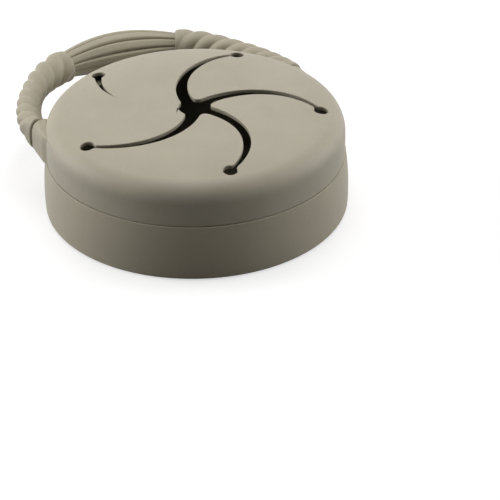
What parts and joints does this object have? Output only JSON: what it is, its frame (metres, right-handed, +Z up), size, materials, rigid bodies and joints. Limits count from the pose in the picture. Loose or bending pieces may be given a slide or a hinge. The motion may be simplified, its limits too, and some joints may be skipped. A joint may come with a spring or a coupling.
{
  "type": "snack container",
  "caption": "Folding silicone snack cup for a toddler, pressed flat, with a lid of curved petals that a hand reaches through and a twisted carrying handle.",
  "frame": {"origin": "centre of the cup's foot, on the surface it stands on", "axes": "+Z up through the cup, +Y from the cup towards the grip of the laid-back handle, +X to the right seen from the front"},
  "size_m": [0.0958, 0.1176, 0.0322],
  "materials": {
    "cup_silicone": "matte moulded silicone, taupe",
    "lid_silicone": "matte moulded silicone, taupe",
    "handle_silicone": "matte moulded silicone, taupe"
  },
  "bodies": {
    "base": {"cup_base": "cup_silicone"},
    "middle": {"cup_middle": "cup_silicone"},
    "rim": {"cup_rim": "cup_silicone"},
    "lid": {"lid_cap": "lid_silicone"},
    "petal_1": {"petal_1": "lid_silicone"},
    "petal_2": {"petal_2": "lid_silicone"},
    "petal_3": {"petal_3": "lid_silicone"},
    "petal_4": {"petal_4": "lid_silicone"},
    "petal_5": {"petal_5": "lid_silicone"},
    "handle": {"handle_tab_left": "handle_silicone", "handle_tab_right": "handle_silicone", "handle_twist_left": "handle_silicone", "handle_twist_right": "handle_silicone", "handle_grip": "handle_silicone"}
  },
  "joints": [
    {"name": "cup_unfold", "type": "slide", "parent": "base", "child": "rim", "axis": [0, 0, 1], "range_m": [0, 0.0558]},
    {"name": "middle_unfold", "type": "slide", "parent": "base", "child": "middle", "axis": [0, 0, 1], "range_m": [0, 0.0279]},
    {"name": "lid_lift", "type": "slide", "parent": "rim", "child": "lid", "axis": [0, 0, 1], "range_m": [0, 0.06]},
    {"name": "petal_1_flex", "type": "hinge", "parent": "lid", "child": "petal_1", "pos_m": [0.01475, -0.02661, 0.0308], "axis": [-0.8746, -0.4848, 0], "range_deg": [-35, 55], "stiffness_Nm_per_rad": 0.01},
    {"name": "petal_2_flex", "type": "hinge", "parent": "lid", "child": "petal_2", "pos_m": [0.02986, 0.0058, 0.0308], "axis": [0.1908, -0.9816, 0], "range_deg": [-35, 55], "stiffness_Nm_per_rad": 0.01},
    {"name": "petal_3_flex", "type": "hinge", "parent": "lid", "child": "petal_3", "pos_m": [0.00371, 0.03019, 0.0308], "axis": [0.9925, -0.1219, 0], "range_deg": [-35, 55], "stiffness_Nm_per_rad": 0.01},
    {"name": "petal_4_flex", "type": "hinge", "parent": "lid", "child": "petal_4", "pos_m": [-0.02757, 0.01286, 0.0308], "axis": [0.4226, 0.9063, 0], "range_deg": [-35, 55], "stiffness_Nm_per_rad": 0.01},
    {"name": "petal_5_flex", "type": "hinge", "parent": "lid", "child": "petal_5", "pos_m": [-0.02075, -0.02225, 0.0308], "axis": [-0.7314, 0.682, 0], "range_deg": [-35, 55], "stiffness_Nm_per_rad": 0.01},
    {"name": "handle_swing", "type": "hinge", "parent": "lid", "child": "handle", "pos_m": [0, 0.01, 0.0227], "axis": [1, 0, 0], "range_deg": [0, 95]}
  ],
  "couplings": [
    {"joint": "middle_unfold", "follows": "cup_unfold", "ratio": 0.5}
  ]
}
